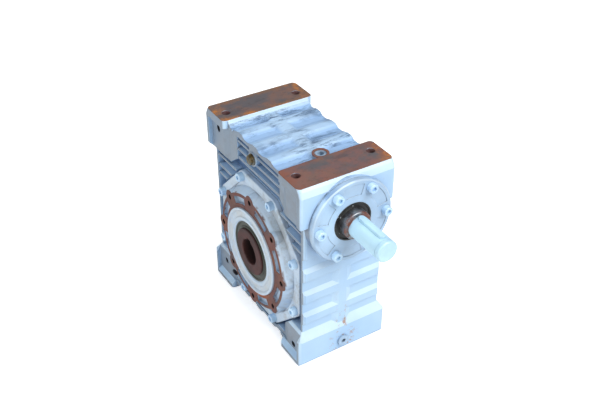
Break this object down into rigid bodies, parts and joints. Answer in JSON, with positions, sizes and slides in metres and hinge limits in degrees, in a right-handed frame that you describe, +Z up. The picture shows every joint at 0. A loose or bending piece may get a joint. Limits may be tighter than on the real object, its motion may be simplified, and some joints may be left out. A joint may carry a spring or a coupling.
{
  "type": "worm gear reducer",
  "caption": "Right-angle worm gear reducer: ribbed cast casing with feet above and below, keyed solid input shaft, hollow keyed output shaft under octagonal bearing covers.",
  "frame": {"origin": "middle of the output bore, where its axis crosses the middle plane of the casing", "axes": "X along the output bore, Y along the input (worm) shaft with the free shaft end towards -Y, Z up from the lower feet to the upper feet"},
  "size_m": [0.155, 0.3565, 0.295],
  "materials": {
    "enamel": "weathered light blue enamel with bare rusty machined faces",
    "painted_screws": "painted over steel",
    "shaft_steel": "machined, light rust",
    "key_steel": "ground",
    "bearing_steel": "polished",
    "cage_steel": "pressed sheet",
    "plug_steel": "painted over, worn",
    "plug_brass": "dull",
    "bronze": "machined",
    "cast_iron": "machined",
    "seal_rubber": "matte",
    "gasket": "oiled paper"
  },
  "bodies": {
    "casing": {"housing": "enamel", "output_cover_left": "enamel", "output_cover_right": "enamel", "output_gasket_left": "gasket", "output_gasket_right": "gasket", "output_cover_screws_left": "painted_screws", "output_cover_screws_right": "painted_screws", "output_seal_left": "seal_rubber", "output_seal_right": "seal_rubber", "output_bearing_outer_left": "bearing_steel", "output_bearing_outer_right": "bearing_steel", "level_plug_left": "plug_brass", "level_plug_right": "plug_brass", "input_cover": "enamel", "rear_cover": "enamel", "input_gasket_front": "gasket", "input_gasket_rear": "gasket", "input_cover_screws_front": "painted_screws", "input_cover_screws_rear": "painted_screws", "input_seal": "seal_rubber", "input_bearing_outer_front": "bearing_steel", "input_bearing_outer_rear": "bearing_steel", "filler_plug": "plug_steel", "drain_plug": "painted_screws"},
    "output_shaft": {"hollow_output_shaft": "shaft_steel", "wheel_key": "key_steel", "wheel_hub": "cast_iron", "worm_wheel_rim": "bronze", "shaft_spacer_left": "shaft_steel", "shaft_spacer_right": "shaft_steel", "output_bearing_inner_left": "bearing_steel", "output_bearing_inner_right": "bearing_steel"},
    "input_shaft": {"worm_shaft": "shaft_steel", "input_key": "key_steel", "input_bearing_inner_front": "bearing_steel", "input_bearing_inner_rear": "bearing_steel"},
    "output_rolling_set_left": {"output_bearing_balls_left": "bearing_steel", "output_bearing_cage_left": "cage_steel"},
    "output_rolling_set_right": {"output_bearing_balls_right": "bearing_steel", "output_bearing_cage_right": "cage_steel"},
    "input_rolling_set_front": {"input_bearing_rollers_front": "bearing_steel", "input_bearing_cage_front": "cage_steel"},
    "input_rolling_set_rear": {"input_bearing_rollers_rear": "bearing_steel", "input_bearing_cage_rear": "cage_steel"}
  },
  "joints": [
    {"name": "output_turn", "type": "hinge", "parent": "casing", "child": "output_shaft", "pos_m": [0, 0, 0], "axis": [1, 0, 0], "continuous": true},
    {"name": "input_turn", "type": "hinge", "parent": "casing", "child": "input_shaft", "pos_m": [0, 0, 0.11], "axis": [0, 1, 0], "continuous": true},
    {"name": "output_rolling_turn_left", "type": "hinge", "parent": "casing", "child": "output_rolling_set_left", "pos_m": [-0.051, 0, 0], "axis": [1, 0, 0], "continuous": true},
    {"name": "output_rolling_turn_right", "type": "hinge", "parent": "casing", "child": "output_rolling_set_right", "pos_m": [0.051, 0, 0], "axis": [1, 0, 0], "continuous": true},
    {"name": "input_rolling_turn_front", "type": "hinge", "parent": "casing", "child": "input_rolling_set_front", "pos_m": [0, -0.1025, 0.11], "axis": [0, 1, 0], "continuous": true},
    {"name": "input_rolling_turn_rear", "type": "hinge", "parent": "casing", "child": "input_rolling_set_rear", "pos_m": [0, 0.1025, 0.11], "axis": [0, 1, 0], "continuous": true}
  ],
  "couplings": [
    {"joint": "input_turn", "follows": "output_turn", "ratio": 30},
    {"joint": "output_rolling_turn_left", "follows": "output_turn", "ratio": 0.4294},
    {"joint": "output_rolling_turn_right", "follows": "output_turn", "ratio": 0.4294},
    {"joint": "input_rolling_turn_front", "follows": "output_turn", "ratio": 13},
    {"joint": "input_rolling_turn_rear", "follows": "output_turn", "ratio": 13}
  ]
}
